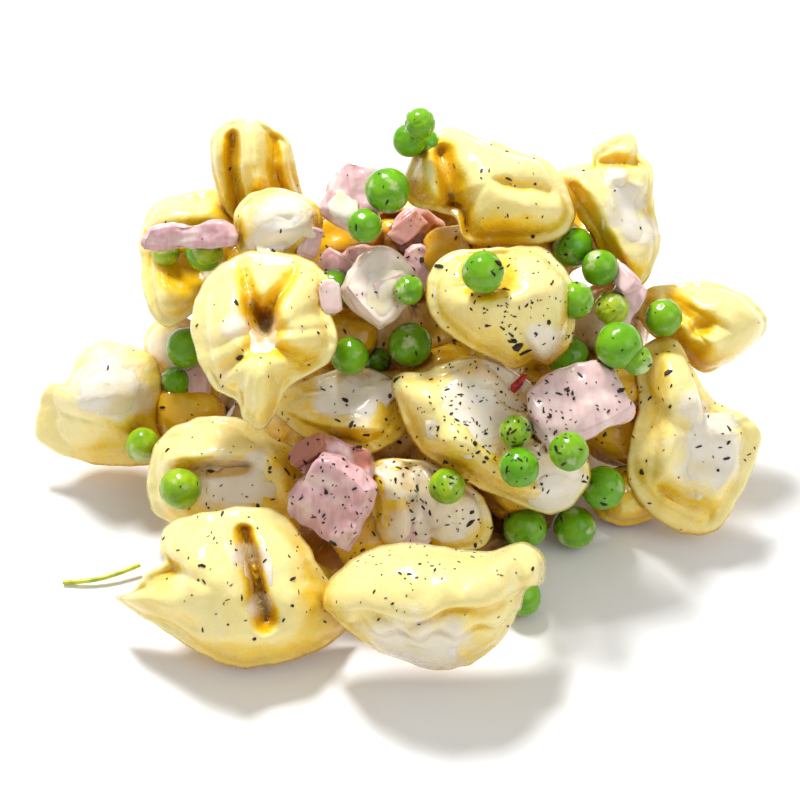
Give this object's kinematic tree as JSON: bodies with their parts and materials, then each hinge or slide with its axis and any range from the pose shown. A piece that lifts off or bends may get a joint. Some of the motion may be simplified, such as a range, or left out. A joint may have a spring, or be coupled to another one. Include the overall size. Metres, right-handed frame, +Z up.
{
  "type": "heap of tortellini with peas and ham",
  "caption": "Serving of filled tortellini in cream sauce, heaped with green peas and pieces of cooked ham and dusted with pepper.",
  "frame": {"origin": "on the ground under the middle of the heap's box", "axes": "+Z up, -Y the front of the heap, +X its right seen from the front"},
  "size_m": [0.1436, 0.1108, 0.0743],
  "materials": {
    "pasta": "cooked egg pasta, moist and glossy with cream",
    "pea": "cooked green pea, moist skin",
    "ham": "cooked ham, moist cut face",
    "core": "pasta and cream sauce under the heap",
    "herb": "cooked herb stem"
  },
  "bodies": {
    "root": {"core": "core", "tortellino_front": "pasta", "tortellino_front_left": "pasta", "tortellino_left": "pasta", "tortellino_far_left": "pasta", "tortellino_upper_left": "pasta", "tortellino_back_left": "pasta", "tortellino_tall": "pasta", "tortellino_pale": "pasta", "tortellino_top": "pasta", "tortellino_top_right": "pasta", "tortellino_middle": "pasta", "tortellino_broad": "pasta", "tortellino_shade": "pasta", "tortellino_lower": "pasta", "tortellino_right": "pasta", "tortellino_far_right": "pasta", "tortellino_gap_right": "pasta", "tortellino_low_front": "pasta", "tortellino_gap_left": "pasta", "tortellino_behind": "pasta", "tortellino_low_right": "pasta", "tortellino_low_left": "pasta", "ham_strip": "ham", "ham_back": "ham", "ham_upper": "ham", "ham_dark": "ham", "ham_edge": "ham", "ham_pale": "ham", "ham_front": "ham", "ham_under": "ham", "ham_right": "ham", "ham_far": "ham", "pea_01": "pea", "pea_02": "pea", "pea_03": "pea", "pea_04": "pea", "pea_05": "pea", "pea_06": "pea", "pea_07": "pea", "pea_08": "pea", "pea_09": "pea", "pea_10": "pea", "pea_11": "pea", "pea_12": "pea", "pea_13": "pea", "pea_14": "pea", "pea_15": "pea", "pea_16": "pea", "pea_17": "pea", "pea_18": "pea", "pea_19": "pea", "pea_20": "pea", "pea_21": "pea", "pea_22": "pea", "pea_23": "pea", "pea_24": "pea", "pea_25": "pea", "pea_26": "pea", "herb_stem": "herb"}
  },
  "joints": []
}
